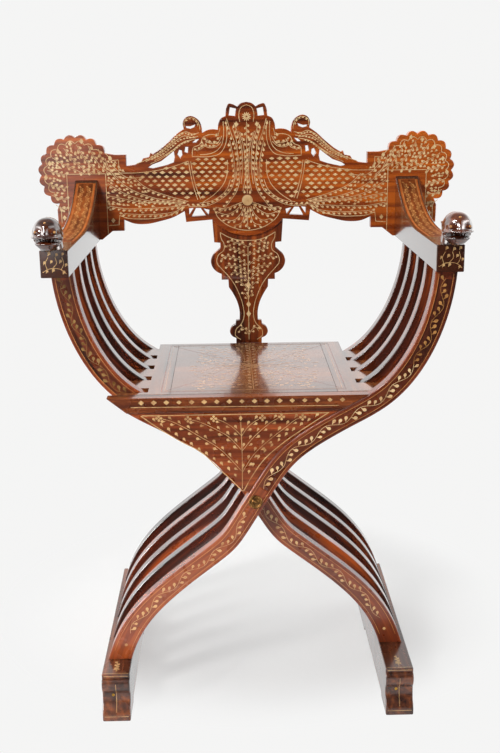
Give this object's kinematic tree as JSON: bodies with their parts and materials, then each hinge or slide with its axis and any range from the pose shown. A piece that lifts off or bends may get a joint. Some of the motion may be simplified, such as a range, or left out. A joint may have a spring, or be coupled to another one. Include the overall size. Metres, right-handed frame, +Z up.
{
  "type": "x frame chair",
  "caption": "Folding X chair: interleaved S-shaped slats cross on a rod and carry a lift-up seat, level arms with carved heads and a fretted crest board that pulls off its pegs",
  "frame": {"origin": "on the floor under the middle of the chair, bottom centre of its bounding box", "axes": "+X to the right seen from the front, +Y to the back of the chair, +Z up"},
  "size_m": [0.742, 0.463, 0.94],
  "materials": {
    "rosewood": "glossy lacquered red-brown rosewood with fine pale inlay",
    "dark_rosewood": "dark polished carved rosewood",
    "seat_wood": "polished rosewood board with pale inlay",
    "dowel_wood": "plain turned dowel",
    "brass": "worn brass",
    "iron": "plain drawn rod, dulled"
  },
  "bodies": {
    "left_arm_frame": {"left_slat_1": "rosewood", "left_slat_2": "rosewood", "left_slat_3": "rosewood", "left_slat_4": "rosewood", "left_slat_5": "rosewood", "left_arm": "rosewood", "left_arm_head": "dark_rosewood", "left_head_dowel": "dowel_wood", "right_foot": "rosewood", "pivot_rod": "iron", "front_rosette": "brass", "rear_rosette": "brass", "seat_hinge_rod": "iron"},
    "right_arm_frame": {"right_slat_1": "rosewood", "right_slat_2": "rosewood", "right_slat_3": "rosewood", "right_slat_4": "rosewood", "right_slat_5": "rosewood", "right_arm": "rosewood", "right_arm_head": "dark_rosewood", "right_head_dowel": "dowel_wood", "left_foot": "rosewood", "seat_rest_rod": "iron", "apron": "rosewood", "apron_dowel_1": "dowel_wood", "apron_dowel_2": "dowel_wood"},
    "seat": {"seat_panel": "seat_wood", "seat_right_comb": "seat_wood", "seat_left_comb": "seat_wood", "seat_front_rail": "rosewood", "rail_dowel_1": "dowel_wood", "rail_dowel_2": "dowel_wood", "rail_dowel_3": "dowel_wood"},
    "crest": {"crest_board": "rosewood", "splat": "rosewood", "right_crest_peg": "brass", "left_crest_peg": "brass", "right_splat_dowel": "dowel_wood", "left_splat_dowel": "dowel_wood"}
  },
  "joints": [
    {"name": "frame_fold", "type": "hinge", "parent": "left_arm_frame", "child": "right_arm_frame", "pos_m": [0, 0, 0.344], "axis": [0, -1, 0], "range_deg": [0, 45]},
    {"name": "seat_lift", "type": "hinge", "parent": "left_arm_frame", "child": "seat", "pos_m": [-0.19, 0, 0.508], "axis": [0, -1, 0], "range_deg": [0, 90]},
    {"name": "crest_pull", "type": "slide", "parent": "left_arm_frame", "child": "crest", "axis": [0, 1, 0], "range_m": [0, 0.03]}
  ],
  "couplings": [
    {"joint": "seat_lift", "follows": "frame_fold", "ratio": 2}
  ]
}
